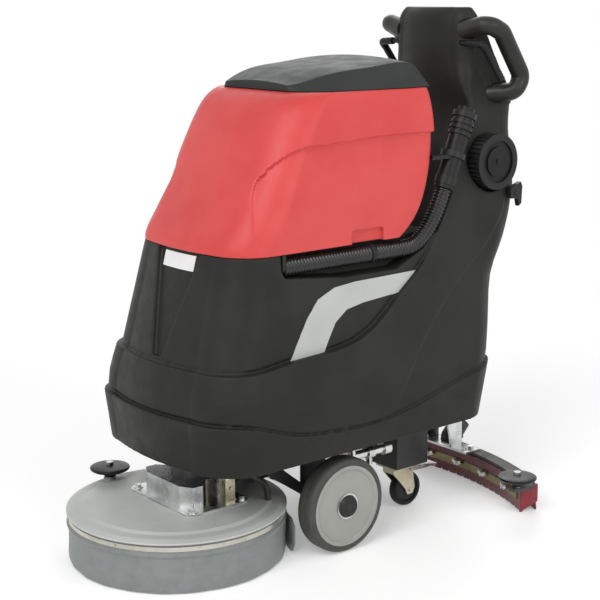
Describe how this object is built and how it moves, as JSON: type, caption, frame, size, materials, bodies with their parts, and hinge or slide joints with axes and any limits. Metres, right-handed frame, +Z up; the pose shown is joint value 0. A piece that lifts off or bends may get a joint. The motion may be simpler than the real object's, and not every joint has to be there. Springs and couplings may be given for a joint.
{
  "type": "walk-behind floor scrubber dryer",
  "caption": "Walk-behind floor scrubber dryer: tilting recovery tank over a solution tank with control column, round brush deck in front, drive wheels, casters and a curved squeegee behind.",
  "frame": {"origin": "on the floor, at the middle of the bounding box in plan", "axes": "+X forward to the brush deck, +Y to the machine's left, +Z up from the floor"},
  "size_m": [1.0759, 0.726, 1.097],
  "materials": {
    "black_shell": "rotomoulded polyethylene, fine grain",
    "red_shell": "rotomoulded polyethylene, fine grain",
    "lid_plastic": "moulded plastic, fine grain",
    "pale_inlay": "smooth moulded plastic",
    "white_plate": "smooth blank plate",
    "dark_plastic": "moulded plastic",
    "grip_plastic": "soft touch plastic",
    "hose_plastic": "corrugated hose",
    "soft_rubber": "soft rubber",
    "black_paint": "powder coat",
    "bright_zinc": "zinc plated steel",
    "yellow_zinc": "yellow passivated zinc plate",
    "grey_disc": "moulded plastic",
    "grey_tyre": "solid rubber tyre",
    "black_tyre": "solid rubber tyre",
    "deck_grey": "painted cover",
    "skirt_rubber": "grey rubber",
    "band_steel": "rolled steel strap",
    "motor_paint": "satin paint",
    "bristle_fibre": "polypropylene bristles",
    "battery_case": "moulded case",
    "blade_rubber": "dark red polyurethane",
    "strap_brass": "rolled strap",
    "plate_grey": "cast plate, satin paint",
    "display_glass": "dark window",
    "button_green": "moulded button",
    "button_blue": "moulded button",
    "key_metal": "polished key",
    "panel_grey": "printed panel, left blank",
    "board_green": "circuit board",
    "brass_tap": "plated pipe"
  },
  "bodies": {
    "chassis": {"chassis_frame": "black_paint", "solution_tank": "black_shell", "accent_strips": "pale_inlay", "badge_plate": "white_plate", "filler_neck": "dark_plastic", "batteries": "battery_case", "tilt_hinge_base": "bright_zinc", "control_head": "black_shell", "control_board": "board_green", "dash_panel": "panel_grey", "charge_display": "display_glass", "handles": "grip_plastic", "wheel_axle": "bright_zinc", "hub_caps": "dark_plastic", "caster_stems": "yellow_zinc", "water_fittings": "brass_tap", "solution_hose": "soft_rubber"},
    "recovery_tank": {"recovery_tank": "red_shell", "vacuum_motor": "motor_paint", "float_cage": "pale_inlay", "lid_seal": "soft_rubber", "tank_hinges": "bright_zinc", "drain_hose": "hose_plastic", "drain_fittings": "dark_plastic"},
    "tank_lid": {"tank_lid": "lid_plastic"},
    "drain_cap": {"drain_cap": "dark_plastic"},
    "filler_cap": {"filler_cap": "dark_plastic"},
    "left_wheel": {"left_wheel_rim": "grey_disc", "left_wheel_tyre": "grey_tyre"},
    "right_wheel": {"right_wheel_rim": "grey_disc", "right_wheel_tyre": "grey_tyre"},
    "left_caster": {"left_caster_fork": "yellow_zinc"},
    "right_caster": {"right_caster_fork": "yellow_zinc"},
    "left_caster_wheel": {"left_caster_wheel": "black_tyre"},
    "right_caster_wheel": {"right_caster_wheel": "black_tyre"},
    "left_caster_brake": {"left_caster_brake": "bright_zinc"},
    "right_caster_brake": {"right_caster_brake": "bright_zinc"},
    "deck": {"brush_hood": "deck_grey", "splash_skirt": "skirt_rubber", "skirt_band": "band_steel", "gear_housing": "bright_zinc", "deck_hangers": "yellow_zinc", "brush_motor": "motor_paint"},
    "brush": {"brush_disc": "dark_plastic", "brush_bristles": "bristle_fibre"},
    "deck_roller": {"deck_roller": "soft_rubber"},
    "lift_arms": {"lift_arms": "black_paint"},
    "lift_pedal": {"lift_pedal": "black_paint"},
    "squeegee": {"squeegee_frame": "plate_grey", "squeegee_blades": "blade_rubber", "blade_straps": "strap_brass", "squeegee_bracket": "bright_zinc"},
    "left_squeegee_roller": {"left_squeegee_roller": "soft_rubber"},
    "right_squeegee_roller": {"right_squeegee_roller": "soft_rubber"},
    "squeegee_lever": {"squeegee_lever": "dark_plastic"},
    "presence_bail": {"presence_bail": "dark_plastic"},
    "ignition_key": {"ignition_key": "key_metal"},
    "water_knob": {"water_knob": "dark_plastic"},
    "brush_button": {"brush_button": "button_green"},
    "vacuum_button": {"vacuum_button": "button_blue"}
  },
  "joints": [
    {"name": "tank_tilt", "type": "hinge", "parent": "chassis", "child": "recovery_tank", "pos_m": [0, -0.201, 0.63], "axis": [1, 0, 0], "range_deg": [0, 50]},
    {"name": "lid_hinge", "type": "hinge", "parent": "recovery_tank", "child": "tank_lid", "pos_m": [-0.24, 0, 0.945], "axis": [0, -1, 0], "range_deg": [0, 80]},
    {"name": "drain_cap_pull", "type": "slide", "parent": "recovery_tank", "child": "drain_cap", "axis": [-0.3746, 0, 0.9272], "range_m": [0, 0.03]},
    {"name": "filler_cap_turn", "type": "hinge", "parent": "chassis", "child": "filler_cap", "pos_m": [-0.427, 0.165, 0.766], "axis": [0, 1, 0], "range_deg": [0, 270]},
    {"name": "left_wheel_spin", "type": "hinge", "parent": "chassis", "child": "left_wheel", "pos_m": [0.048, 0.209, 0.1], "axis": [0, 1, 0], "continuous": true},
    {"name": "right_wheel_spin", "type": "hinge", "parent": "chassis", "child": "right_wheel", "pos_m": [0.048, -0.209, 0.1], "axis": [0, 1, 0], "continuous": true},
    {"name": "left_caster_swivel", "type": "hinge", "parent": "chassis", "child": "left_caster", "pos_m": [-0.206, 0.104, 0.09], "axis": [0, 0, 1], "continuous": true},
    {"name": "right_caster_swivel", "type": "hinge", "parent": "chassis", "child": "right_caster", "pos_m": [-0.206, -0.104, 0.09], "axis": [0, 0, 1], "continuous": true},
    {"name": "left_caster_spin", "type": "hinge", "parent": "left_caster", "child": "left_caster_wheel", "pos_m": [-0.234, 0.104, 0.04], "axis": [0, 1, 0], "continuous": true},
    {"name": "right_caster_spin", "type": "hinge", "parent": "right_caster", "child": "right_caster_wheel", "pos_m": [-0.234, -0.104, 0.04], "axis": [0, 1, 0], "continuous": true},
    {"name": "left_brake_press", "type": "hinge", "parent": "left_caster", "child": "left_caster_brake", "pos_m": [-0.236, 0.104, 0.09], "axis": [0, -1, 0], "range_deg": [0, 8]},
    {"name": "right_brake_press", "type": "hinge", "parent": "right_caster", "child": "right_caster_brake", "pos_m": [-0.236, -0.104, 0.09], "axis": [0, -1, 0], "range_deg": [0, 8]},
    {"name": "deck_lift", "type": "slide", "parent": "chassis", "child": "deck", "axis": [0, 0, 1], "range_m": [0, 0.025], "deforming": ["solution_hose"]},
    {"name": "brush_spin", "type": "hinge", "parent": "deck", "child": "brush", "pos_m": [0.312, 0, 0.06], "axis": [0, 0, 1], "continuous": true},
    {"name": "deck_roller_spin", "type": "hinge", "parent": "deck", "child": "deck_roller", "pos_m": [0.349, -0.198, 0.13], "axis": [0, 0, 1], "continuous": true},
    {"name": "lift_arm_turn", "type": "hinge", "parent": "chassis", "child": "lift_arms", "pos_m": [0.133, 0, 0.163], "axis": [0, -1, 0], "range_deg": [0, 12.3]},
    {"name": "pedal_press", "type": "hinge", "parent": "chassis", "child": "lift_pedal", "pos_m": [-0.25, -0.158, 0.19], "axis": [0, -1, 0], "range_deg": [0, 12.1]},
    {"name": "squeegee_lift", "type": "hinge", "parent": "chassis", "child": "squeegee", "pos_m": [-0.3, 0, 0.17], "axis": [0, 1, 0], "range_deg": [0, 12]},
    {"name": "left_squeegee_roller_spin", "type": "hinge", "parent": "squeegee", "child": "left_squeegee_roller", "pos_m": [-0.367, 0.32, 0.085], "axis": [0, 0, 1], "continuous": true},
    {"name": "right_squeegee_roller_spin", "type": "hinge", "parent": "squeegee", "child": "right_squeegee_roller", "pos_m": [-0.367, -0.32, 0.085], "axis": [0, 0, 1], "continuous": true},
    {"name": "squeegee_lever_turn", "type": "hinge", "parent": "chassis", "child": "squeegee_lever", "pos_m": [-0.488, 0.178, 0.6925], "axis": [0, 1, 0], "range_deg": [0, 35.1]},
    {"name": "bail_pull", "type": "hinge", "parent": "chassis", "child": "presence_bail", "pos_m": [-0.396, 0, 1.02], "axis": [0, 1, 0], "range_deg": [0, 8], "stiffness_Nm_per_rad": 6, "springref_deg": -8.59},
    {"name": "key_turn", "type": "hinge", "parent": "chassis", "child": "ignition_key", "pos_m": [-0.49034, 0.066, 0.97408], "axis": [-0.88, 0, 0.4749], "range_deg": [0, 90]},
    {"name": "water_knob_turn", "type": "hinge", "parent": "chassis", "child": "water_knob", "pos_m": [-0.49034, -0.066, 0.97408], "axis": [-0.88, 0, 0.4749], "range_deg": [0, 270]},
    {"name": "brush_button_press", "type": "slide", "parent": "chassis", "child": "brush_button", "axis": [0.88, 0, -0.4749], "range_m": [0, 0.0024], "stiffness_N_per_m": 400, "springref_m": -0.002},
    {"name": "vacuum_button_press", "type": "slide", "parent": "chassis", "child": "vacuum_button", "axis": [0.88, 0, -0.4749], "range_m": [0, 0.0024], "stiffness_N_per_m": 400, "springref_m": -0.002}
  ],
  "couplings": [
    {"joint": "lift_arm_turn", "follows": "deck_lift", "rad_per_m": 8.55},
    {"joint": "pedal_press", "follows": "deck_lift", "rad_per_m": 8.38},
    {"joint": "squeegee_lever_turn", "follows": "squeegee_lift", "ratio": 2.92}
  ]
}
